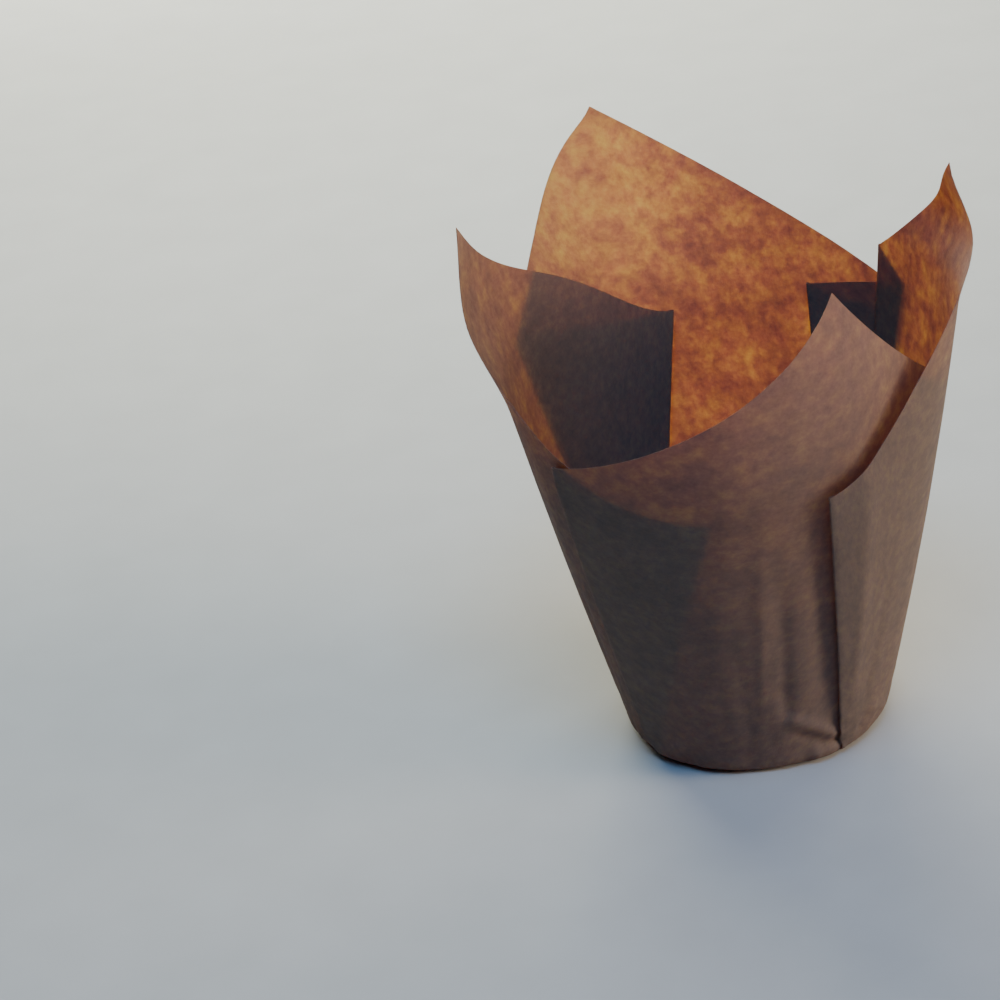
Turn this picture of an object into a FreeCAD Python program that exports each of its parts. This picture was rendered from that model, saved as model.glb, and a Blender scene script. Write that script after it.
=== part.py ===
"""A tulip baking liner: one square sheet of greaseproof paper pressed into a round cup.

The middle of the sheet is the flat base. The wall leans outward, and its pleats take up
the paper that a cone doesn't need. The sheet's four corners stand up as tall tips.

Millimetres, +Z up. The origin is the centre of the base, on its underside. Azimuths are in
degrees, from 0 at the front (-Y), and grow towards the right (+X). A crease is given by
its angle round the middle of the flat sheet, from 0 at the front corner, and by where it
stands on the cup: its azimuth at the base, which is its pleat's root, and at the rim.
"""

import FreeCAD, Part
import math
import os

from collections import namedtuple
from functools import partial

from FreeCAD import Vector

PARTS_FOLDER = "parts"
NODE = "folded_sheet"

# Name, value and meaning of every driving dimension, for the spreadsheet.
DIMENSIONS = [
    ("sheet_side", 180.0, "side of the square sheet"),
    ("sheet_back", 4.3, "how far back of its middle the sheet was pressed"),
    ("sheet_right", 1.4, "how far right of its middle the sheet was pressed"),
    ("paper_thickness", 0.2, "thickness of the sheet"),
    ("layer_step", 0.6, "from one layer of a pleat to the next, middle to middle"),
    ("base_diameter", 48.0, "of the base, where the wall's line meets it"),
    ("base_corner", 1.2, "how far in from that line the flat of the base ends"),
    ("corner_height", 2.5, "how far up the wall the corner round the base ends"),
    ("wall_lean", 14.5, "of the wall from upright, in degrees"),
    ("wall_bow", 0.00048, "how much the wall bows inward, in mm for each square mm"),
    ("rim_slant", 62.0, "how far up the wall the azimuths at the rim are measured"),
    ("lead_skew", 0.7, "under 1, a lead is greatest in the first half of the way"),
    ("pleat_root", 5.0, "width of a pleat at the base, in degrees"),
    ("small_pleat_root", 2.0, "width of the small pleat at the base, in degrees"),
    ("pleat_opening", 3.0, "how far up the wall a springing crease takes to open"),
    ("spring_reach", 26.0, "degrees from a crease over which its spring dies away"),
    ("front_tip", 20.3, "azimuth of the front tip at the rim"),
    ("right_tip", 92.6, "azimuth of the right tip at the rim"),
    ("back_tip", 191.7, "azimuth of the back tip at the rim"),
    ("left_tip", 255.3, "azimuth of the left tip at the rim"),
    ("front_tip_curl", -14.0, "how far outward the front tip curls"),
    ("right_tip_curl", -0.3, "how far outward the right tip curls"),
    ("back_tip_curl", 4.5, "how far outward the back tip curls"),
    ("left_tip_curl", 2.0, "how far outward the left tip curls"),
    ("right_bulge", 92.0, "azimuth at the rim of the bulge below the right tip"),
    ("right_bulge_width", 28.0, "degrees from there over which it dies away"),
    ("right_bulge_from", 85.0, "how far up the wall it starts to rise"),
    ("right_bulge_height", 2.1, "how far outward it stands"),
    ("left_bulge", 268.0, "azimuth at the rim of the bulge below the left tip"),
    ("left_bulge_width", 22.0, "degrees from there over which it dies away"),
    ("left_bulge_from", 72.0, "how far up the wall it starts to rise"),
    ("left_bulge_height", 2.0, "how far outward it stands"),
    ("right_tip_lead_before", 9.0, "how far the turn runs ahead before the right tip"),
    ("back_tip_lead_after", -3.0, "how far the turn runs ahead after the back tip"),
    ("left_tip_lead_before", 6.7, "how far the turn runs ahead before the left tip"),
    ("front_right", 34.0, "azimuth of the front right pleat at the base"),
    ("front_right_inner", 75.0, "azimuth of its inner crease at the rim"),
    ("front_right_inner_turn", 22.0, "angle of its inner crease in the sheet"),
    ("front_right_outer", 19.0, "azimuth of its outer crease at the rim"),
    ("front_right_outer_turn", 51.0, "angle of its outer crease in the sheet"),
    ("front_right_outer_spring", 1.4, "how far its outer crease springs outward"),
    ("small", 118.0, "azimuth of the small pleat at the base"),
    ("small_inner", 124.4, "azimuth of its inner crease at the rim"),
    ("small_inner_turn", 105.0, "angle of its inner crease in the sheet"),
    ("small_outer", 114.5, "azimuth of its outer crease at the rim"),
    ("small_outer_turn", 111.5, "angle of its outer crease in the sheet"),
    ("back_right", 130.0, "azimuth of the back right pleat at the base"),
    ("back_right_inner", 148.0, "azimuth of its inner crease at the rim"),
    ("back_right_inner_turn", 122.5, "angle of its inner crease in the sheet"),
    ("back_right_outer", 119.0, "azimuth of its outer crease at the rim"),
    ("back_right_outer_turn", 150.0, "angle of its outer crease in the sheet"),
    ("back_left", 220.5, "azimuth of the back left pleat at the base"),
    ("back_left_outer", 239.0, "azimuth of its outer crease at the rim"),
    ("back_left_outer_turn", 204.5, "angle of its outer crease in the sheet"),
    ("back_left_inner", 191.0, "azimuth of its inner crease at the rim"),
    ("back_left_inner_turn", 229.0, "angle of its inner crease in the sheet"),
    ("front_left", 303.5, "azimuth of the front left pleat at the base"),
    ("front_left_inner", 347.0, "azimuth of its inner crease at the rim"),
    ("front_left_inner_turn", 311.0, "angle of its inner crease in the sheet"),
    ("front_left_outer", 303.0, "azimuth of its outer crease at the rim"),
    ("front_left_outer_turn", 337.5, "angle of its outer crease in the sheet"),
]

TIPS = ["front_tip", "right_tip", "back_tip", "left_tip"]

# The creases between each tip and the next, in their order along the sheet: the pleat,
# the crease, and how many layers out the paper lies before and after it.
PLEATS = [
    [("front_right", "inner", -1, 0), ("front_right", "outer", 0, 1)],
    [
        ("small", "inner", -3, -2),
        ("small", "outer", -2, -1),
        ("back_right", "inner", -1, 0),
        ("back_right", "outer", 0, 1),
    ],
    [("back_left", "outer", 1, 0), ("back_left", "inner", 0, -1)],
    [("front_left", "inner", -1, 0), ("front_left", "outer", 0, 1)],
]

COLUMN_STEP = 7.5  # degrees of azimuth at the rim between columns of facets
WALL_ROWS = 7  # of facets, up the wall
CLEAR_OF_CREASE = 5.0  # degrees past a crease before the layer over it may change

# A tip or crease, or any other line up the paper: its angle in the flat sheet and its
# azimuth at the base and at the rim.
Line = namedtuple("Line", "turn base rim")
# A crease's line, whether the paper comes to it with growing azimuth (1) or not (-1), the
# layer it lies in before and after, and how far outward it springs.
Crease = namedtuple("Crease", "line onward before after spring")
# The paper between two lines: its layer at an azimuth at the rim, the creases beside it and
# how far its turn runs ahead of an even spread at most.
Panel = namedtuple("Panel", "start end layer_at creases lead")


def spreadsheet(doc):
    """The document's spreadsheet, with a cell for each driving dimension."""
    sheet = doc.addObject("Spreadsheet::Sheet", "Dimensions")
    for row, (name, value, meaning) in enumerate(DIMENSIONS, start=1):
        sheet.set(f"A{row}", meaning)
        sheet.set(f"B{row}", str(value))
        sheet.setAlias(f"B{row}", name)
    doc.recompute()
    return sheet


def between(first, last, share):
    """The number that lies a share of the way from the first to the last."""
    return first + share * (last - first)


def line_between(first, last, share):
    """The line up the paper that lies a share of the way from the first to the last."""
    return Line(*(between(a, b, share) for a, b in zip(first, last)))


class FoldedSheet:
    """Where the paper lies once the sheet is folded."""

    def __init__(self, sheet):
        size = {name: float(sheet.get(name)) for name, _, _ in DIMENSIONS}
        self.size = size
        self.base_radius = size["base_diameter"] / 2
        self.lean = math.radians(size["wall_lean"])
        self.tip_slant = size["sheet_side"] / math.sqrt(2) - self.base_radius
        self.corners = self.find_corners()
        self.creases = [self.find_creases(rows) for rows in PLEATS]
        self.tips = self.find_tips()

    def find_corners(self):
        """The flat sheet's corners as (forward, right), from the middle of the base."""
        size = self.size
        half_diagonal = size["sheet_side"] / math.sqrt(2)
        corners = []
        for quarter in range(4):
            angle = math.radians(90 * quarter)
            forward = half_diagonal * math.cos(angle) - size["sheet_back"]
            right = half_diagonal * math.sin(angle) + size["sheet_right"]
            corners.append((forward, right))
        return corners

    def find_creases(self, rows):
        """The creases between two tips, each at its own side of its pleat's root."""
        size = self.size
        creases = []
        onward = 1
        for pleat, side, before, after in rows:
            width = size["small_pleat_root"] if pleat == "small" else size["pleat_root"]
            name = f"{pleat}_{side}"
            base = size[pleat] + onward * width / 2
            line = Line(size[name + "_turn"], base, size[name])
            spring = size.get(name + "_spring", 0.0)
            creases.append(Crease(line, onward, before, after, spring))
            onward = -onward
        return creases

    def find_tips(self):
        """The lines up to the tips, halfway between pleats at the base."""
        tips = []
        for number in range(5):
            pleat_before = self.creases[(number - 1) % 4][-1].line.base
            pleat_after = self.creases[number % 4][0].line.base
            pleat_before += 360 * ((number - 1) // 4)
            pleat_after += 360 * (number // 4)
            rim = self.size[TIPS[number % 4]] + 360 * (number // 4)
            base = (pleat_before + pleat_after) / 2
            tips.append(Line(90.0 * number, base, rim))
        return tips

    def panel_layer(self, number, rim):
        """The layer of the panel that ends in a tip, at an azimuth at the rim.

        It stays what it is at each crease for as long as other layers lie against it.
        """
        pleat_before = self.creases[(number - 1) % 4]
        pleat_after = self.creases[number % 4]
        start = max(crease.line.rim for crease in pleat_before) + CLEAR_OF_CREASE
        start += 360 * ((number - 1) // 4)
        end = min(crease.line.rim for crease in pleat_after) - CLEAR_OF_CREASE
        end += 360 * (number // 4)
        share = min(1.0, max(0.0, (rim - start) / (end - start)))
        return between(pleat_before[-1].after, pleat_after[0].before, share)

    def edge_slant(self, turn):
        """How far up the wall the sheet's straight edge is, at an angle in the sheet."""
        quarter = min(int(turn // 90), 3)
        x1, y1 = self.corners[quarter]
        x2, y2 = self.corners[(quarter + 1) % 4]
        first = math.atan2(y1, x1)
        swept = (math.atan2(y2, x2) - first) % (2 * math.pi)
        angle = first + swept * (turn / 90 - quarter)
        run_x, run_y = x2 - x1, y2 - y1
        facing = math.cos(angle) * run_y - math.sin(angle) * run_x
        return (x1 * run_y - y1 * run_x) / facing - self.base_radius

    def wall_radius(self, slant):
        """The radius of the wall at a slant, the distance up it from the base."""
        bow = self.size["wall_bow"] * slant**2
        return self.base_radius + slant * math.sin(self.lean) - bow

    def azimuth(self, line, slant):
        """A line's azimuth: it turns from the base on as a pleat widens."""
        rim = self.size["rim_slant"]
        widened = slant / self.wall_radius(slant) * self.wall_radius(rim) / rim
        return between(line.base, line.rim, widened)

    def share_above(self, low, slant):
        """How far a slant lies on the way from a lower one to the tips."""
        return max(0.0, slant - low) / (self.tip_slant - low)

    def curl(self, turn, slant):
        """How far outward the paper curls above the rim."""
        quarter = min(int(turn // 90), 3)
        curls = [self.size[tip + "_curl"] for tip in TIPS]
        share = math.sin(math.radians(turn - 90 * quarter)) ** 2
        outward = between(curls[quarter], curls[(quarter + 1) % 4], share)
        return outward * self.share_above(self.size["rim_slant"], slant) ** 2

    def bulges(self, rim, slant):
        """How far outward the paper bulges between the rim and the side tips."""
        size = self.size
        total = 0.0
        for name in ("right_bulge", "left_bulge"):
            away = (rim % 360 - size[name]) / size[name + "_width"]
            risen = math.sin(math.pi * self.share_above(size[name + "_from"], slant)) ** 2
            total += size[name + "_height"] * math.exp(-(away**2)) * risen
        return total

    def line_of(self, panel, share):
        """The line up the paper a share of the way through a panel."""
        ahead = panel.lead * math.sin(math.pi * share ** self.size["lead_skew"]) ** 2
        line = line_between(panel.start, panel.end, share)
        return line._replace(turn=line.turn + ahead)

    def spring(self, rim, creases, slant):
        """How far the creases beside the paper hold it outward."""
        opened = 1 - math.exp(-slant / self.size["pleat_opening"])
        total = 0.0
        for crease in creases:
            away = (rim - crease.line.rim) / self.size["spring_reach"]
            total += crease.spring * math.exp(-(away**2))
        return opened * total

    def place(self, radius, azimuth, height):
        """The point at a radius, azimuth and height."""
        angle = math.radians(azimuth)
        return Vector(radius * math.sin(angle), -radius * math.cos(angle), height)

    def point(self, line, layer, creases, slant, outward):
        """A point of the wall's face: outward is 1 on the cup's outside, -1 inside."""
        half = self.size["paper_thickness"] / 2
        radius = self.wall_radius(slant) + layer * self.size["layer_step"]
        radius += self.spring(line.rim, creases, slant)
        radius += self.curl(line.turn, slant) + self.bulges(line.rim, slant)
        radius += outward * half * math.cos(self.lean)
        height = slant * math.cos(self.lean) + half * (1 - outward * math.sin(self.lean))
        return self.place(radius, self.azimuth(line, slant), height)

    def foot(self, line, layer, face, outward):
        """Where a face of the paper leaves the flat of the base.

        There both faces end on the line that halves the angle of the fold. Where a pleat
        turns the paper over, the wall folds back over the base, and the angle is sharp.
        """
        size = self.size
        half = size["paper_thickness"] / 2
        run = self.wall_radius(size["corner_height"]) - self.base_radius + size["base_corner"]
        slope = math.atan2(size["corner_height"] * math.cos(self.lean), run)
        turned_over = face != outward
        fold = slope if turned_over else math.pi - slope
        radius = self.base_radius - size["base_corner"] + layer * size["layer_step"]
        radius += outward * half / math.tan(fold / 2)
        return self.place(radius, line.base, half * (1 - face))


def column_up(folded, line, layer, creases, face, outward):
    """The points up one face of the paper, from the flat of the base to the sheet's edge.

    The sheet has face 1, which is the cup's underside, and face -1, which is its floor.
    """
    size = folded.size
    edge = folded.edge_slant(line.turn)
    column = []
    for row in range(WALL_ROWS + 1):
        slant = between(size["corner_height"], edge, row / WALL_ROWS)
        column.append(folded.point(line, layer, creases, slant, outward))
    return [folded.foot(line, layer, face, outward)] + column


def panel_columns(folded, panel, face):
    """The columns of the paper from one line up it to another, without the last."""
    width = panel.end.rim - panel.start.rim
    outward = face if width > 0 else -face
    steps = max(1, round(abs(width) / COLUMN_STEP))
    columns = []
    for step in range(steps):
        line = folded.line_of(panel, step / steps)
        layer = panel.layer_at(line.rim)
        columns.append(column_up(folded, line, layer, panel.creases, face, outward))
    return columns


def bend_columns(folded, crease, face):
    """The columns where the paper turns back at a crease, without the last."""
    outward = face * crease.onward
    first = column_up(folded, crease.line, crease.before, [crease], face, outward)
    last = column_up(folded, crease.line, crease.after, [crease], face, -outward)
    middle = []
    for start, end in zip(first, last):
        ahead = Vector(-start.y, start.x, 0).normalize() * crease.onward
        middle.append((start + end) / 2 + ahead * (end - start).Length / 2)
    return [first, middle]


def steady(layer, rim):
    """The layer between two creases, the same at every azimuth."""
    return layer


def panels_between_tips(folded, number):
    """The panels from one tip to the next."""
    creases = folded.creases[number]
    first, last = creases[0], creases[-1]
    lead = folded.size.get(TIPS[number] + "_lead_after", 0.0)
    layer_at = partial(folded.panel_layer, number)
    panels = [Panel(folded.tips[number], first.line, layer_at, [first], lead)]
    for crease, following in zip(creases, creases[1:]):
        layer_at = partial(steady, crease.after)
        panels.append(Panel(crease.line, following.line, layer_at, [crease, following], 0.0))
    lead = folded.size.get(TIPS[(number + 1) % 4] + "_lead_before", 0.0)
    layer_at = partial(folded.panel_layer, number + 1)
    panels.append(Panel(last.line, folded.tips[number + 1], layer_at, [last], lead))
    return panels


def round_the_cup(folded, face):
    """The columns of one face of the sheet, once round its edge and back to the first."""
    columns = []
    for number, creases in enumerate(folded.creases):
        panels = panels_between_tips(folded, number)
        for panel, crease in zip(panels, creases):
            columns += panel_columns(folded, panel, face)
            columns += bend_columns(folded, crease, face)
        columns += panel_columns(folded, panels[-1], face)
    return columns + [columns[0]]


def facet(points):
    """A flat face with these corners."""
    return Part.Face(Part.makePolygon(points + [points[0]]))


def facets(first, second):
    """The triangles between two lines of points, split along the shorter diagonals."""
    faces = []
    for a, b, c, d in zip(first, second, second[1:], first[1:]):
        if (c - a).Length < (d - b).Length:
            faces += [facet([a, b, c]), facet([a, c, d])]
        else:
            faces += [facet([a, b, d]), facet([b, c, d])]
    return faces


def sheet_solid(folded):
    """The folded sheet as one closed solid."""
    underside = round_the_cup(folded, 1)
    floor = round_the_cup(folded, -1)
    faces = []
    for columns in (underside, floor):
        for first, second in zip(columns, columns[1:]):
            faces += facets(first, second)
        faces.append(facet([column[0] for column in columns[:-1]]))
    faces += facets([column[-1] for column in underside], [column[-1] for column in floor])
    shell = Part.makeShell(faces)
    shell.sewShape()
    solid = Part.Solid(shell)
    if solid.Volume < 0:
        solid.reverse()
    return solid


def check(doc, parts):
    """Stops if an object of the document failed, or a part isn't a valid solid."""
    for thing in doc.Objects:
        if "Invalid" in thing.State or "Error" in thing.State:
            raise RuntimeError(f"{thing.Label} failed: {thing.State}")
    for part in parts:
        shape = part.Shape
        if shape.isNull() or not shape.isValid() or len(shape.Solids) != 1:
            raise RuntimeError(f"{part.Label} isn't one valid solid")


def main():
    doc = FreeCAD.newDocument("TulipLiner")
    folded = FoldedSheet(spreadsheet(doc))
    part = doc.addObject("Part::Feature", "FoldedSheet")
    part.Label = NODE
    part.Shape = sheet_solid(folded)
    part.Placement = FreeCAD.Placement()
    doc.recompute()
    check(doc, [part])
    os.makedirs(PARTS_FOLDER, exist_ok=True)
    part.Shape.exportStep(os.path.join(PARTS_FOLDER, part.Label + ".step"))
    box = part.Shape.BoundBox
    print(f"{part.Label}: {box.XLength:.1f} x {box.YLength:.1f} x {box.ZLength:.1f} mm,")
    print(f"volume {part.Shape.Volume:.0f} mm3, area {part.Shape.Area:.0f} mm2")


main()
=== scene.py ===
"""A tulip baking liner of brown greaseproof paper, with its camera, lights and floor.

The paper is worked out as a grid. Each column runs from the middle of the base, up the wall,
to the sheet's edge, and the columns go once round the sheet, through every fold. Relief from
pressing and handling is shared by all the layers of a pleat, so they stay apart. The grid is
then given the paper's thickness.

Metres, +Z up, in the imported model's frame. Azimuths are in degrees, from 0 at the front (-Y),
and grow towards the right (+X). A turn is an angle round the middle of the flat sheet, in
degrees from the sheet's front corner.
"""

import math
from collections import namedtuple
from functools import partial

import bmesh
import bpy
import numpy as np
from mathutils import Matrix, Vector, noise


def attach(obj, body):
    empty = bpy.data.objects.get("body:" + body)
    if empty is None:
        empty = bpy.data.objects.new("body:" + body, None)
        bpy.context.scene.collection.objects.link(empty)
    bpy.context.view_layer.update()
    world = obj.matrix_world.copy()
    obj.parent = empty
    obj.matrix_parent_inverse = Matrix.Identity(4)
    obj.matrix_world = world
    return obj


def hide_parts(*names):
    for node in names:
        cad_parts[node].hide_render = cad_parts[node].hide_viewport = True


NODE = "folded_sheet"

WHOLE_TURN = 360.0
QUARTER_TURN = 90.0
CORNERS = 4  # of the sheet, each of which is a tip of the cup

# The sheet and the cup that it was pressed into.
SHEET_SIDE = 0.180
SHEET_BACK = 0.0043  # how far back of its middle the sheet was pressed
SHEET_RIGHT = 0.0014  # how far right of its middle
PAPER = 0.00010  # the paper's thickness
LAYER_STEP = 0.00045  # from one layer of a pleat to the next
BASE_RADIUS = 0.024
BASE_CORNER = 0.0025  # how far the rounded corner reaches along the base and up the wall
WALL_LEAN = math.radians(14.5)
WALL_BOW = 0.48  # how much the wall bows inward, in metres for each square metre
RIM_SLANT = 0.062  # how far up the wall the azimuths at the rim are measured
BASE_TURN = 11.3  # how far a turn on the flat sheet is ahead of the azimuth on the base

# A tip: its azimuth at the rim, how far outward it curls, and how far the turn runs ahead of
# an even spread at most, before the tip and after it.
Tip = namedtuple("Tip", "rim curl before after")
TIPS = [
    Tip(20.3, -0.014, 0.0, 0.0),
    Tip(92.6, -0.0003, 9.0, 0.0),
    Tip(191.7, 0.0045, 0.0, -3.0),
    Tip(255.3, 0.002, 6.7, 0.0),
]
LEAD_SKEW = 0.7  # under 1, a lead is greatest in the first half of the way

# Bulges between the rim and the tips: the azimuth at the rim, the degrees from there over
# which it dies away, the slant from which it rises, and how far outward it stands.
BULGES = [(92.0, 28.0, 0.085, 0.0021), (268.0, 22.0, 0.072, 0.0020)]

# A crease: the azimuth of its pleat's root and half the root's width, its azimuth at the rim,
# its turn, the layers of the paper before and after it, and how far it springs outward.
Crease = namedtuple("Crease", "root width rim turn before after spring")
CREASES = [
    [
        Crease(34.0, 2.5, 75.0, 22.0, -1, 0, 0.0),
        Crease(34.0, 2.5, 19.0, 51.0, 0, 1, 0.0014),
    ],
    [
        Crease(118.0, 1.0, 124.4, 105.0, -3, -2, -0.0002),
        Crease(118.0, 1.0, 114.5, 111.5, -2, -1, 0.0),
        Crease(130.0, 2.5, 148.0, 122.5, -1, 0, -0.0004),
        Crease(130.0, 2.5, 119.0, 150.0, 0, 1, 0.0006),
    ],
    [
        Crease(220.5, 2.5, 239.0, 204.5, 1, 0, 0.0007),
        Crease(220.5, 2.5, 191.0, 229.0, 0, -1, -0.0015),
    ],
    [
        Crease(303.5, 2.5, 347.0, 311.0, -1, 0, -0.0003),
        Crease(303.5, 2.5, 303.0, 337.5, 0, 1, 0.0005),
    ],
]
SPRING_REACH = 26.0  # degrees from a crease over which its spring dies away
SPRUNG_SLANT = 0.055  # how far up the wall a crease is sprung outward in full
CLEAR_OF_CREASE = 5.0  # degrees past a crease before the layer over it may change
PLEAT_OPENING = 0.003  # how far up the wall a pleat takes to open from its root

# The grid.
COLUMN_STEP = 1.5  # in degrees at the rim
BEND_COLUMNS = 4
BASE_ROWS = 14
CORNER_ROWS = 6
WALL_ROWS = 66
ROWS_CROWD = 1.25  # over 1 crowds the rows towards the base
WELD_REACH = 1e-7  # points nearer than this become one
LEAST_EDGE = 1e-8  # shorter edges are taken out
LEAST_NORMAL = 1e-18  # keeps a normal's length from being 0
SHARP_ANGLE = math.radians(55)  # over this, an edge is shaded as sharp

# Soft waves round the wall: how many go round it, the azimuth of a crest, and the height.
WAVES = [
    (1, 270.0, 0.00045),
    (2, 40.0, 0.00030),
    (3, 100.0, 0.00025),
    (5, 12.0, 0.00012),
    (7, 30.0, 0.00007),
]

# Marks pressed into the wall: the azimuth and slant of its lower and upper end, its width in
# degrees and its height.
MARKS = [
    (357.6, 0.014, 360.4, 0.058, 1.9, 0.00034),
    (366.4, 0.012, 365.8, 0.048, 2.4, -0.00048),
    (352.0, 0.006, 350.0, 0.034, 2.4, -0.00018),
    (21.0, 0.010, 17.0, 0.062, 3.0, -0.00035),
    (32.6, 0.006, 28.8, 0.076, 5.0, 0.00070),
    (32.6, 0.008, 28.8, 0.074, 1.6, 0.00020),
    (41.0, 0.006, 44.0, 0.044, 2.2, -0.00018),
    (96.0, 0.010, 92.0, 0.050, 1.8, 0.00022),
    (150.0, 0.012, 156.0, 0.060, 2.0, 0.00025),
    (176.0, 0.010, 172.0, 0.044, 2.4, -0.00022),
    (262.0, 0.012, 266.0, 0.052, 2.0, 0.00026),
    (284.0, 0.008, 288.0, 0.040, 2.2, -0.00020),
]
MARK_FADE = 1.4  # over 1, a mark keeps its full height for longer

# Pinches near the base, each along a line between two points of the wall: the azimuth and
# slant of each end, how far it reaches to each side and its height outward.
PINCHES = [
    (4.5, 0.0210, 7.5, 0.0140, 0.0013, -0.00035),
    (9.0, 0.0122, 27.0, 0.0058, 0.0012, 0.00080),
    (12.0, 0.0085, 30.0, 0.0034, 0.0010, -0.00055),
    (20.0, 0.0018, 31.0, 0.0012, 0.0015, 0.00120),
    (47.0, 0.0075, 60.0, 0.0045, 0.0011, 0.00035),
    (128.0, 0.0030, 144.0, 0.0060, 0.0012, 0.00045),
    (208.0, 0.0065, 222.0, 0.0030, 0.0012, 0.00045),
    (309.0, 0.0024, 322.0, 0.0060, 0.0013, 0.00045),
    (334.0, 0.0040, 346.0, 0.0022, 0.0012, 0.00030),
]

# Streaks and crumples are noise in two sizes each: how many times finer the size is, its
# share of the height, and a seed.
STREAK_WIDTH = 0.0030
STREAK_HEIGHT = 0.00009
STREAK_STRETCH = 9  # how many times as long as wide a streak is
STREAK_SIZES = [(1.0, 1.0, 3.7), (2.1, 0.5, 8.1)]
CRUMPLE_SIZE = 0.0052
CRUMPLE_HEIGHT = 0.00050
CRUMPLE_REACH = 0.0065  # how far up the wall the base's crumples die away
CRUMPLE_LEVEL = 0.35  # how strong the noise is where a crumple is neither raised nor sunk
CRUMPLE_SIZES = [(1.0, 1.1, 12.3), (1.9, 0.6, 5.9)]
ROOT_CRUMPLE_HEIGHT = 0.00070
ROOT_CRUMPLE_WIDTH = 13.0  # in degrees
ROOT_CRUMPLE_REACH = 0.0110
RELIEF_START = 0.0015  # how far up the wall the relief has half its height

# The underside of the base: a pressed ring and a slight dome.
RING_RADIUS = 0.0196
RING_WIDTH = 0.0007
RING_HEIGHT = 0.00022
DOME_RADIUS = 0.016
DOME_HEIGHT = 0.00025
DOME_LUMP = 0.007  # the size of its unevenness
DOME_SEED = 21.0

# The paper's texture, each a noise's scale, detail and roughness, and its share in how the
# fibres lie. All of it is laid out on the flat sheet.
CLOUDS = (130.0, 2.0, 0.5)
FLOCS = (480.0, 3.0, 0.65)
FIBRES = (1600.0, 2.0, 0.6)
TINTS = (260.0, 1.0, 0.5)
CLOUDS_SHARE = 0.38
FLOCS_SHARE = 0.50
FIBRES_SHARE = 0.12

# Painted glow: a place on the flat sheet, near the back tip, where the light through the paper is
# painted brighter, because light falls more strongly on the top of the back petal. Then how far
# round it that goes and how far it moves the paper's formation.
PAINTED_GLOW_PLACE = (-0.121, -0.009, 0.0)
PAINTED_GLOW_REACH = 0.034
PAINTED_GLOW_LIFT = 0.19

# Colours from dense paper to thin: of the light that comes through and of the surface. The painted
# glow near the back tip moves the first towards its thin end. The tint varies the first a little,
# from pinker to yellower.
GLOW = [
    (0.36, (0.475, 0.190, 0.080)),
    (0.50, (0.665, 0.315, 0.122)),
    (0.64, (0.880, 0.520, 0.160)),
    (0.80, (0.995, 0.730, 0.200)),
]
TINT = [(0.36, (1.00, 0.965, 1.12)), (0.64, (1.00, 1.035, 0.88))]
SURFACE = [(0.34, (0.212, 0.165, 0.141)), (0.66, (0.248, 0.196, 0.170))]
LIGHT_THROUGH = 0.45  # the share of the light that goes into the paper and through it
FLOCS_IN_BUMP = 0.5  # how much the flocs raise the surface, where the fibres raise it by 1
BUMP_STRENGTH = 0.35
BUMP_HEIGHT = 0.00006
PAPER_ROUGHNESS = 0.65
PAPER_SPECULAR = 0.25

FLOOR_REACH = 3.0
FLOOR_GRAIN = (60.0, 3.0, 0.5)
FLOOR_COLOURS = [(0.3, (0.52, 0.517, 0.51)), (0.7, (0.55, 0.547, 0.54))]
FLOOR_ROUGHNESS = 0.8

# The camera looks along +Y and down.
CAMERA_PLACE = Vector((-0.0429, -0.5589, 0.3493))
CAMERA_DOWN = math.radians(28.14)
CAMERA_ROLL = math.radians(-7.53)
CAMERA_LENS = 125.9
CAMERA_NEAR = 0.01  # nearer than this, the camera sees nothing

# The lights. Those behind the liner make it glow, the warm ones at its right light its
# outside, and a cool one above fills the shadows. Each has its azimuth, its height, its
# distance from the middle, its width and height, its power in watts and its colour.
PALE = (1.0, 1.0, 0.82)
WARM = (1.0, 0.82, 0.62)
COOL = (0.27, 0.55, 1.0)
LIGHTS = {
    "back": (188.0, 0.13, 0.80, (0.60, 0.24), 11.5, PALE),
    "over": (195.0, 0.26, 0.33, (0.30, 0.12), 0.65, PALE),
    "side": (144.0, 0.16, 1.0, (0.5, 0.26), 7.6, PALE),
    "key": (76.0, 0.27, 1.0, (0.40, 0.36), 8.4, WARM),
    "high": (60.0, 0.60, 1.0, (0.40, 0.40), 2.9, WARM),
    "fill": (0.0, 1.10, 0.45, (0.5, 0.5), 8.0, COOL),
}
LIT_HEIGHT = 0.06  # the height that the lights face
WORLD_COLOUR = (0.40, 0.62, 1.0, 1.0)
WORLD_STRENGTH = 0.02


def between(first, last, share):
    """What lies a share of the way from the first to the last."""
    return first + share * (last - first)


def degrees_apart(azimuth, other):
    """How many degrees an azimuth is past another, from -180 to 180."""
    return (azimuth - other + WHOLE_TURN / 2) % WHOLE_TURN - WHOLE_TURN / 2


# ---------------------------------------------------------------- the folded sheet

Line = namedtuple("Line", "turn root base rim")


def line_between(first, last, share):
    """The line up the paper that lies a share of the way from the first to the last."""
    return Line(*(between(a, b, share) for a, b in zip(first, last)))


def crease_lines(creases):
    """The creases' lines, each at its own side of its pleat's root."""
    side = 1
    lines = []
    for crease in creases:
        lines.append(Line(crease.turn, crease.root, crease.root + side * crease.width, crease.rim))
        side = -side
    return lines


def quarters_on(line, number):
    """The line, moved on by whole turns so that it belongs to a quarter past the last."""
    whole = WHOLE_TURN * (number // CORNERS)
    return Line(*(angle + whole for angle in line))


def tip_line(number):
    """The line up to a tip, halfway between its neighbouring pleats at the base."""
    before = quarters_on(crease_lines(CREASES[(number - 1) % CORNERS])[-1], number - 1)
    after = quarters_on(crease_lines(CREASES[number % CORNERS])[0], number)
    rim = TIPS[number % CORNERS].rim + WHOLE_TURN * (number // CORNERS)
    root = (before.root + after.root) / 2
    return Line(QUARTER_TURN * number, root, (before.base + after.base) / 2, rim)


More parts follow.
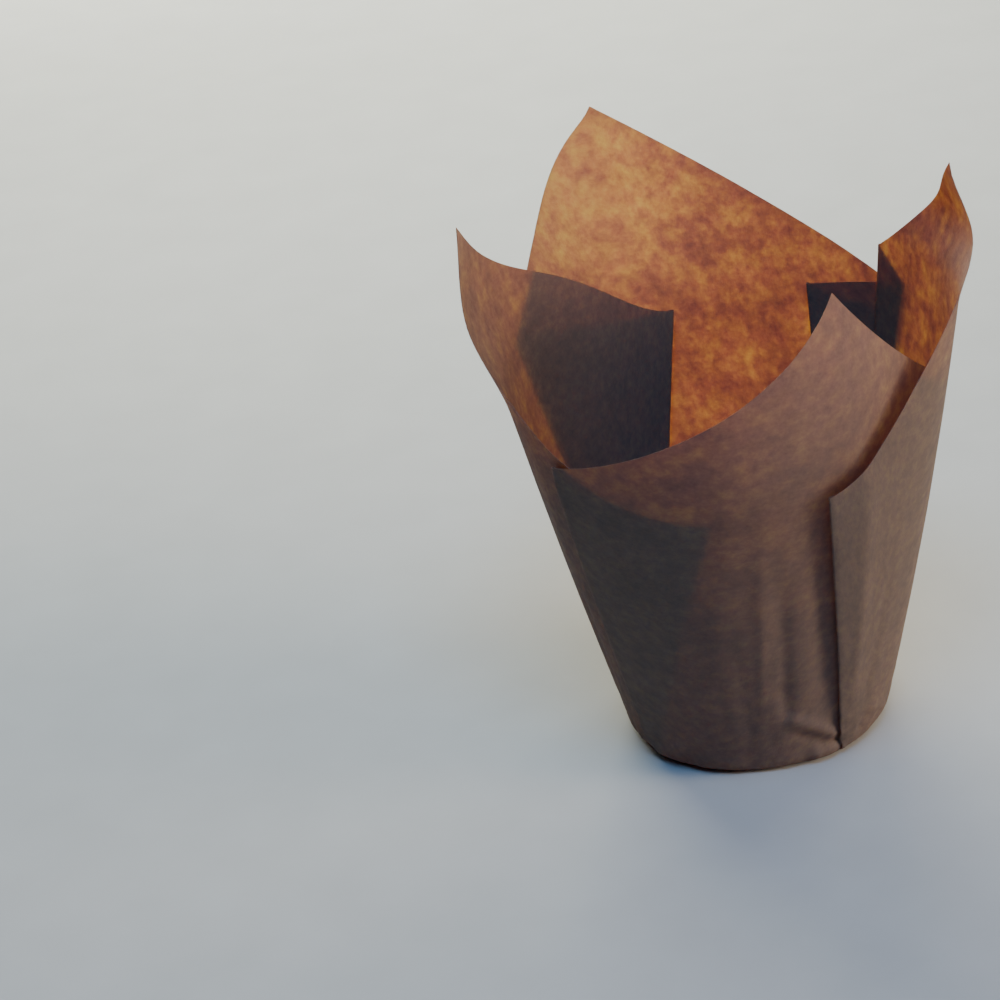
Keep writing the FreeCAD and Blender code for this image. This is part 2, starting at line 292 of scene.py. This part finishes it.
def panel_layer(number, rim):
    """The layer of the panel that ends in a tip, at an azimuth at the rim."""
    before = CREASES[(number - 1) % CORNERS]
    after = CREASES[number % CORNERS]
    start = max(crease.rim for crease in before) + CLEAR_OF_CREASE
    start += WHOLE_TURN * ((number - 1) // CORNERS)
    end = min(crease.rim for crease in after) - CLEAR_OF_CREASE
    end += WHOLE_TURN * (number // CORNERS)
    share = min(1.0, max(0.0, (rim - start) / (end - start)))
    return between(before[-1].after, after[0].before, share)


def same_layer(layer, rim):
    """The layer, which is the same at every azimuth at the rim."""
    return layer


def spring_at(rim, springs):
    """How far the paper is held outward by the springing creases beside it."""
    return sum(
        spring * math.exp(-(((rim - crease_rim) / SPRING_REACH) ** 2))
        for crease_rim, spring in springs
    )


def strip_columns(start, end, layer_at, springs, lead=0.0):
    """The columns from one line to another, without the last.

    In between, the turn runs ahead of an even spread by up to the lead.
    """
    steps = round(abs(end.rim - start.rim) / COLUMN_STEP)
    columns = []
    for step in range(steps):
        share = step / steps
        line = line_between(start, end, share)
        ahead = lead * math.sin(math.pi * share**LEAD_SKEW) ** 2
        line = line._replace(turn=line.turn + ahead)
        columns.append((*line, layer_at(line.rim), spring_at(line.rim, springs), 0.0))
    return columns


def bend_columns(line, crease, onward):
    """The columns of the half circle in which the paper turns back, without the last."""
    columns = []
    for step in range(BEND_COLUMNS):
        angle = math.pi * step / BEND_COLUMNS
        layer = between(crease.before, crease.after, (1 - math.cos(angle)) / 2)
        ahead = onward * LAYER_STEP / 2 * math.sin(angle)
        columns.append((*line, layer, crease.spring, ahead))
    return columns


def sheet_columns():
    """Every column once round the sheet.

    A column's values are its turn, its azimuths at the root, base and rim, its layer, how
    far it is sprung outward, and how far it lies ahead in a bend.
    """
    columns = []
    for number, creases in enumerate(CREASES):
        start = tip_line(number)
        springs = []
        layer_at = partial(panel_layer, number)
        lead = TIPS[number].after
        onward = 1
        for crease, line in zip(creases, crease_lines(creases)):
            beside = springs + [(crease.rim, crease.spring)]
            columns += strip_columns(start, line, layer_at, beside, lead)
            columns += bend_columns(line, crease, onward)
            start = line
            springs = [(crease.rim, crease.spring)]
            layer_at = partial(same_layer, crease.after)
            lead = 0.0
            onward = -onward
        layer_at = partial(panel_layer, number + 1)
        lead = TIPS[(number + 1) % CORNERS].before
        columns += strip_columns(start, tip_line(number + 1), layer_at, springs, lead)
    return np.array(columns)


def quarter_at(turn):
    """The number of the corner that begins the quarter in which each turn lies."""
    return np.minimum(turn // QUARTER_TURN, CORNERS - 1).astype(int)


def sheet_edge(turn):
    """Where the sheet's edge is at each turn, on the flat sheet from the base's middle."""
    half_diagonal = SHEET_SIDE / math.sqrt(2)
    quarter = quarter_at(turn)

    def corner(number):
        """How far forward and to the right of the base's middle a corner is."""
        angle = np.radians(QUARTER_TURN * number)
        forward = half_diagonal * np.cos(angle) - SHEET_BACK
        right = half_diagonal * np.sin(angle) + SHEET_RIGHT
        return forward, right

    (x1, y1), (x2, y2) = corner(quarter), corner(quarter + 1)
    first = np.arctan2(y1, x1)
    swept = (np.arctan2(y2, x2) - first) % (2 * math.pi)
    angle = first + swept * (turn / QUARTER_TURN - quarter)
    facing = np.cos(angle) * (y2 - y1) - np.sin(angle) * (x2 - x1)
    distance = (x1 * (y2 - y1) - y1 * (x2 - x1)) / facing
    return distance, angle


def wall_radius(slant):
    """The radius of the wall at a slant, the distance up it from the base."""
    return BASE_RADIUS + slant * math.sin(WALL_LEAN) - WALL_BOW * slant**2


def widened(slant):
    """How far a pleat has widened, from 0 at the base to 1 at the rim."""
    return slant / wall_radius(slant) * wall_radius(RIM_SLANT) / RIM_SLANT


def at_turn(turn, values):
    """What the tips have of something, blended at a turn between two tips."""
    quarter = quarter_at(turn)
    values = np.array(values)
    share = np.sin(np.radians(turn - QUARTER_TURN * quarter)) ** 2
    return between(values[quarter], values[(quarter + 1) % CORNERS], share)


def share_above(low, slant):
    """How far a slant lies on the way from a lower one to the tips."""
    tip_slant = SHEET_SIDE / math.sqrt(2) - BASE_RADIUS
    return np.maximum(0.0, slant - low) / (tip_slant - low)


def curl(turn, slant):
    """How far outward the paper curls above the rim."""
    return at_turn(turn, [tip.curl for tip in TIPS]) * share_above(RIM_SLANT, slant) ** 2


def bulges(rim, slant):
    """How far outward the paper bulges between the rim and the tips."""
    total = np.zeros_like(slant)
    for azimuth, width, low, height in BULGES:
        beside = np.exp(-((degrees_apart(rim, azimuth) / width) ** 2))
        total += height * beside * np.sin(math.pi * share_above(low, slant)) ** 2
    return total


def profile(edge_slant):
    """The paper's section: radius, height and slant of each row, for each column.

    The rows go out over the base, round its corner and up the wall. On the base, the slant
    is 0.
    """
    flat_end = BASE_RADIUS - BASE_CORNER
    corner_angle = math.pi / 2 - WALL_LEAN
    corner_radius = BASE_CORNER / math.tan(corner_angle / 2)
    rows = []
    for row in range(BASE_ROWS):
        rows.append((flat_end * row / BASE_ROWS, 0.0, 0.0))
    for row in range(CORNER_ROWS):
        angle = corner_angle * row / CORNER_ROWS
        radius = flat_end + corner_radius * math.sin(angle)
        height = corner_radius * (1 - math.cos(angle))
        rows.append((radius, height, BASE_CORNER * row / CORNER_ROWS))
    count = len(edge_slant)
    radius, height, slant = (np.tile(values, (count, 1)) for values in np.array(rows).T)
    share = (np.arange(WALL_ROWS + 1) / WALL_ROWS) ** ROWS_CROWD
    wall_slant = between(BASE_CORNER, edge_slant[:, None], share[None, :])
    radius = np.hstack([radius, wall_radius(wall_slant)])
    height = np.hstack([height, wall_slant * math.cos(WALL_LEAN)])
    return radius, height, np.hstack([slant, wall_slant])


# ---------------------------------------------------------------- relief

def noise_at(points, seed):
    """Smooth noise, about -1 to 1, at each point of an array."""
    flat = points.reshape(-1, 3) + seed
    values = [noise.noise(point, noise_basis="PERLIN_NEW") for point in flat.tolist()]
    return np.array(values).reshape(points.shape[:-1])


def round_the_wall(azimuth, radius, height):
    """Points on the wall as it is before relief."""
    angle = np.radians(azimuth)
    return np.stack([radius * np.sin(angle), -radius * np.cos(angle), height], axis=-1)


def waves(azimuth, slant):
    """Soft waves that grow up the wall."""
    total = np.zeros_like(slant)
    for count, crest, height in WAVES:
        total += height * np.cos(np.radians(count * (azimuth - crest)))
    return total * np.minimum(slant / RIM_SLANT, 1.0)


def marks(azimuth, slant):
    """The marks pressed into the wall, each a soft ridge or groove with faded ends."""
    total = np.zeros_like(slant)
    for low_azimuth, low, high_azimuth, high, width, height in MARKS:
        along = (slant - low) / (high - low)
        centre = between(low_azimuth, high_azimuth, np.clip(along, 0, 1))
        across = degrees_apart(azimuth, centre) / width
        fade = np.clip(MARK_FADE * np.sin(math.pi * np.clip(along, 0, 1)), 0, 1)
        total += height * fade * np.exp(-(across**2))
    return total


def pinches(azimuth, slant):
    """The short folds pressed in near the base, round at both ends."""
    total = np.zeros_like(slant)
    for first, low, last, high, width, height in PINCHES:
        length = math.radians(last - first) * BASE_RADIUS
        rise = high - low
        along = np.radians(degrees_apart(azimuth, first)) * BASE_RADIUS
        up = slant - low
        share = np.clip((along * length + up * rise) / (length**2 + rise**2), 0, 1)
        beside = np.hypot(along - share * length, up - share * rise)
        total += height * np.exp(-((beside / width) ** 2))
    return total


def streaks(azimuth, slant):
    """Fine upright unevenness from pressing."""
    height = slant / (STREAK_STRETCH * STREAK_WIDTH)
    points = round_the_wall(azimuth, BASE_RADIUS / STREAK_WIDTH, height)
    total = sum(share * noise_at(finer * points, seed) for finer, share, seed in STREAK_SIZES)
    return STREAK_HEIGHT * total


def crumples(azimuth, slant, radius):
    """Crumples round the base, and larger ones at the roots of the pleats."""
    places = round_the_wall(azimuth, radius, slant) / CRUMPLE_SIZE
    folds = sum(
        share * (CRUMPLE_LEVEL - np.abs(noise_at(finer * places, seed)))
        for finer, share, seed in CRUMPLE_SIZES
    )
    height = CRUMPLE_HEIGHT * np.exp(-slant / CRUMPLE_REACH)
    for root in sorted({crease.root for creases in CREASES for crease in creases}):
        beside = degrees_apart(azimuth, root) / ROOT_CRUMPLE_WIDTH
        near = np.exp(-(beside**2) - slant / ROOT_CRUMPLE_REACH)
        height = height + ROOT_CRUMPLE_HEIGHT * near
    return height * folds


def wall_relief(azimuth, slant, radius):
    """How far outward the paper is of the plain wall."""
    risen = slant**2 / (slant**2 + RELIEF_START**2)
    relief = waves(azimuth, slant) + marks(azimuth, slant) + streaks(azimuth, slant)
    return risen * (relief + pinches(azimuth, slant) + crumples(azimuth, slant, radius))


def base_relief(azimuth, radius):
    """How far the base stands off what it rests on: a pressed ring and a slight dome."""
    ring = RING_HEIGHT * np.exp(-(((radius - RING_RADIUS) / RING_WIDTH) ** 2))
    places = round_the_wall(azimuth, radius, 0.0 * radius) / DOME_LUMP
    uneven = 1 + noise_at(places, DOME_SEED)
    dome = DOME_HEIGHT * uneven * np.exp(-((radius / DOME_RADIUS) ** 4))
    return ring + dome


# ---------------------------------------------------------------- the mesh

def middle_surface(columns):
    """The paper's middle surface, and where each point lies in the flat sheet."""
    turn, root, base, rim, layer, spring, ahead = (values[:, None] for values in columns.T)
    distance, edge_angle = sheet_edge(turn)
    radius, height, slant = profile(distance[:, 0] - BASE_RADIUS)
    opened = 1 - np.exp(-slant / PLEAT_OPENING)
    azimuth = between(root, base, opened) + (rim - base) * widened(slant)
    azimuth = azimuth + np.degrees(ahead * opened / np.maximum(radius, PAPER))
    sprung = spring * np.minimum(slant / SPRUNG_SLANT, 1.0)
    outward = opened * layer * LAYER_STEP + sprung
    outward = outward + curl(turn, slant) + bulges(rim, slant)
    outward = outward + wall_relief(azimuth, slant, radius)
    height = height + np.where(slant == 0, base_relief(azimuth, radius), 0.0)
    surface = round_the_wall(azimuth, radius + outward, height + PAPER / 2)

    base_turn = np.radians(BASE_TURN + root)
    share = np.clip(slant / (distance - BASE_RADIUS), 0, 1)
    from_middle = np.minimum(radius, BASE_RADIUS)
    flat_x = between(from_middle * np.cos(base_turn), distance * np.cos(edge_angle), share)
    flat_y = between(from_middle * np.sin(base_turn), distance * np.sin(edge_angle), share)
    place = np.stack([flat_x, flat_y, 0 * flat_x], axis=-1)
    return surface, place, slant


def underside_normals(surface, slant):
    """The direction out of the paper's underside at every point of the grid."""
    along = np.roll(surface, -1, axis=0) - np.roll(surface, 1, axis=0)
    up = np.gradient(surface, axis=1)
    normals = np.cross(along, up)
    lengths = np.linalg.norm(normals, axis=-1, keepdims=True)
    normals = normals / np.maximum(lengths, LEAST_NORMAL)
    normals[slant == 0] = (0.0, 0.0, -1.0)
    return normals


def grid_faces(columns, rows, first, flip):
    """The quads of a closed grid whose points are numbered column by column."""
    column, row = np.meshgrid(np.arange(columns), np.arange(rows - 1), indexing="ij")
    after = (column + 1) % columns
    corners = [
        column * rows + row,
        after * rows + row,
        after * rows + row + 1,
        column * rows + row + 1,
    ]
    if flip:
        corners.reverse()
    return first + np.stack(corners, axis=-1).reshape(-1, 4)


def rim_faces(columns, rows):
    """The quads of the sheet's cut edge, between its underside and its floor."""
    column = np.arange(columns)
    top = column * rows + rows - 1
    next_top = (column + 1) % columns * rows + rows - 1
    floor = columns * rows
    return np.stack([top, next_top, floor + next_top, floor + top], axis=-1)


def sheet_object():
    """The folded sheet as a closed mesh with the paper's thickness."""
    surface, place, slant = middle_surface(sheet_columns())
    normals = underside_normals(surface, slant)
    columns, rows = surface.shape[:2]
    points = np.concatenate([surface + normals * PAPER / 2, surface - normals * PAPER / 2])
    faces = np.concatenate([
        grid_faces(columns, rows, 0, False),
        grid_faces(columns, rows, columns * rows, True),
        rim_faces(columns, rows),
    ])
    mesh = bpy.data.meshes.new("liner_paper")
    mesh.from_pydata(points.reshape(-1, 3).tolist(), [], faces.tolist())
    stored = mesh.attributes.new("place", "FLOAT_VECTOR", "POINT")
    stored.data.foreach_set("vector", np.concatenate([place, place]).ravel())
    weld(mesh)
    mesh.shade_smooth()
    mesh.set_sharp_from_angle(angle=SHARP_ANGLE)
    liner = bpy.data.objects.new("liner_paper", mesh)
    bpy.context.scene.collection.objects.link(liner)
    return liner


def weld(mesh):
    """Joins the columns of each pleat where they meet in its root and under the base."""
    work = bmesh.new()
    work.from_mesh(mesh)
    bmesh.ops.remove_doubles(work, verts=work.verts, dist=WELD_REACH)
    bmesh.ops.dissolve_degenerate(work, edges=work.edges, dist=LEAST_EDGE)
    work.to_mesh(mesh)
    work.free()


# ---------------------------------------------------------------- the material

class Nodes:
    """A short way to add and link a material's nodes."""

    def __init__(self, name):
        self.material = bpy.data.materials.new(name)
        self.material.use_nodes = True
        self.tree = self.material.node_tree
        self.tree.nodes.clear()

    def add(self, kind, inputs=(), **settings):
        """A node with these settings; its inputs are numbers, colours or other outputs."""
        made = self.tree.nodes.new("ShaderNode" + kind)
        for name, value in settings.items():
            setattr(made, name, value)
        for name, value in dict(inputs).items():
            if isinstance(value, bpy.types.NodeSocket):
                self.tree.links.new(value, made.inputs[name])
            else:
                made.inputs[name].default_value = value
        return made

    def noise(self, place, kind):
        """Noise at a place, of a kind that gives its scale, detail and roughness."""
        scale, detail, roughness = kind
        inputs = {"Vector": place, "Scale": scale, "Detail": detail, "Roughness": roughness}
        return self.add("TexNoise", inputs).outputs["Fac"]

    def math(self, operation, first, second):
        """The value that an operation makes of two others."""
        return self.add("Math", {0: first, 1: second}, operation=operation).outputs[0]

    def ramp(self, value, stops):
        """The colour at a value, from stops that give a position and a colour each."""
        made = self.add("ValToRGB", {"Fac": value})
        elements = made.color_ramp.elements
        while len(elements) < len(stops):
            elements.new(0.5)
        for element, (position, colour) in zip(elements, stops):
            element.position = position
            element.color = (*colour, 1.0)
        return made.outputs["Color"]


def paper_material():
    """Unbleached greaseproof paper: brown, cloudy against the light, with a faint sheen, and a
    painted brighter glow near the back tip.
    """
    nodes = Nodes("greaseproof_paper")
    place = nodes.add("Attribute", attribute_name="place").outputs["Vector"]
    clouds = nodes.noise(place, CLOUDS)
    flocs = nodes.noise(place, FLOCS)
    fibres = nodes.noise(place, FIBRES)
    formation = nodes.math("MULTIPLY", clouds, CLOUDS_SHARE)
    formation = nodes.math("ADD", formation, nodes.math("MULTIPLY", flocs, FLOCS_SHARE))
    formation = nodes.math("ADD", formation, nodes.math("MULTIPLY", fibres, FIBRES_SHARE))

    # Painted glow: round a place near the back tip, the light through the paper is painted
    # brighter, where more light falls on the back petal's top.
    from_painted_glow = nodes.add("VectorMath", {0: place, 1: PAINTED_GLOW_PLACE}, operation="DISTANCE")
    painted_glow = nodes.add("MapRange", {
        "Value": from_painted_glow.outputs["Value"],
        "From Min": 0.0,
        "From Max": PAINTED_GLOW_REACH,
        "To Min": PAINTED_GLOW_LIFT,
        "To Max": 0.0,
    }, interpolation_type="SMOOTHSTEP")
    glow = nodes.ramp(nodes.math("ADD", formation, painted_glow.outputs["Result"]), GLOW)
    tint = nodes.ramp(nodes.noise(place, TINTS), TINT)
    tinted = nodes.add("VectorMath", {0: glow, 1: tint}, operation="MULTIPLY")

    height = nodes.math("ADD", nodes.math("MULTIPLY", flocs, FLOCS_IN_BUMP), fibres)
    bump = nodes.add("Bump", {
        "Height": height,
        "Strength": BUMP_STRENGTH,
        "Distance": BUMP_HEIGHT,
    })
    skin = nodes.add("BsdfPrincipled", {
        "Base Color": nodes.ramp(formation, SURFACE),
        "Roughness": PAPER_ROUGHNESS,
        "Specular IOR Level": PAPER_SPECULAR,
        "Normal": bump.outputs["Normal"],
    })
    through = nodes.add("BsdfTranslucent", {
        "Color": tinted.outputs["Vector"],
        "Normal": bump.outputs["Normal"],
    })
    mixed = nodes.add("MixShader", {
        "Fac": LIGHT_THROUGH,
        1: skin.outputs["BSDF"],
        2: through.outputs["BSDF"],
    })
    nodes.add("OutputMaterial", {"Surface": mixed.outputs["Shader"]})
    return nodes.material


def floor_material():
    """A plain pale, matt floor."""
    nodes = Nodes("pale_floor")
    coordinates = nodes.add("TexCoord").outputs["Object"]
    colour = nodes.ramp(nodes.noise(coordinates, FLOOR_GRAIN), FLOOR_COLOURS)
    shader = nodes.add("BsdfPrincipled", {"Base Color": colour, "Roughness": FLOOR_ROUGHNESS})
    nodes.add("OutputMaterial", {"Surface": shader.outputs["BSDF"]})
    return nodes.material


# ---------------------------------------------------------------- the studio

def add_floor():
    """The floor that the liner stands on."""
    mesh = bpy.data.meshes.new("floor")
    far = FLOOR_REACH
    corners = [(-far, -far, 0), (far, -far, 0), (far, far, 0), (-far, far, 0)]
    mesh.from_pydata(corners, [], [(0, 1, 2, 3)])
    mesh.materials.append(floor_material())
    floor = bpy.data.objects.new("floor", mesh)
    bpy.context.scene.collection.objects.link(floor)


def add_light(name, azimuth, height, distance, size, power, colour):
    """A soft rectangular light of this width and height, facing the liner."""
    light = bpy.data.lights.new(name, "AREA")
    light.shape = "RECTANGLE"
    light.size, light.size_y = size
    light.energy = power
    light.color = colour
    lamp = bpy.data.objects.new(name, light)
    angle = math.radians(azimuth)
    lamp.location = (distance * math.sin(angle), -distance * math.cos(angle), height)
    towards = Vector((0, 0, LIT_HEIGHT)) - lamp.location
    lamp.rotation_euler = towards.to_track_quat("-Z", "Y").to_euler()
    bpy.context.scene.collection.objects.link(lamp)


def add_lights():
    """The lights round the liner, and a faint light from all sides."""
    for name, facts in LIGHTS.items():
        add_light(name, *facts)
    world = bpy.data.worlds.new("studio")
    world.use_nodes = True
    background = world.node_tree.nodes["Background"]
    background.inputs["Color"].default_value = WORLD_COLOUR
    background.inputs["Strength"].default_value = WORLD_STRENGTH
    bpy.context.scene.world = world


def add_camera():
    """The camera, looking along +Y and down, and rolled about its own axis."""
    ahead = Vector((0, math.cos(CAMERA_DOWN), -math.sin(CAMERA_DOWN)))
    across = Vector((1, 0, 0))
    above = across.cross(ahead)
    right = math.cos(CAMERA_ROLL) * across + math.sin(CAMERA_ROLL) * above
    up = right.cross(ahead)
    turned = Matrix((right, up, -ahead)).transposed().to_4x4()
    camera = bpy.data.objects.new("camera", bpy.data.cameras.new("camera"))
    camera.data.lens = CAMERA_LENS
    camera.data.clip_start = CAMERA_NEAR
    camera.matrix_world = Matrix.Translation(CAMERA_PLACE) @ turned
    bpy.context.scene.collection.objects.link(camera)
    bpy.context.scene.camera = camera


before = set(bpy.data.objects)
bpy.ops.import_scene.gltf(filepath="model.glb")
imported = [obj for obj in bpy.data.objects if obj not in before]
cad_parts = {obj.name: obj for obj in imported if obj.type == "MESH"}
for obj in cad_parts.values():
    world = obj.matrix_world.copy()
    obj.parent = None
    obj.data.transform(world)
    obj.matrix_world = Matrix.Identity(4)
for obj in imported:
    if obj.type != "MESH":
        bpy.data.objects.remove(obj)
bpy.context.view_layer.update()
add_camera()
add_lights()
add_floor()
paper = sheet_object()
paper.data.materials.append(paper_material())
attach(paper, "root")
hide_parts(NODE)
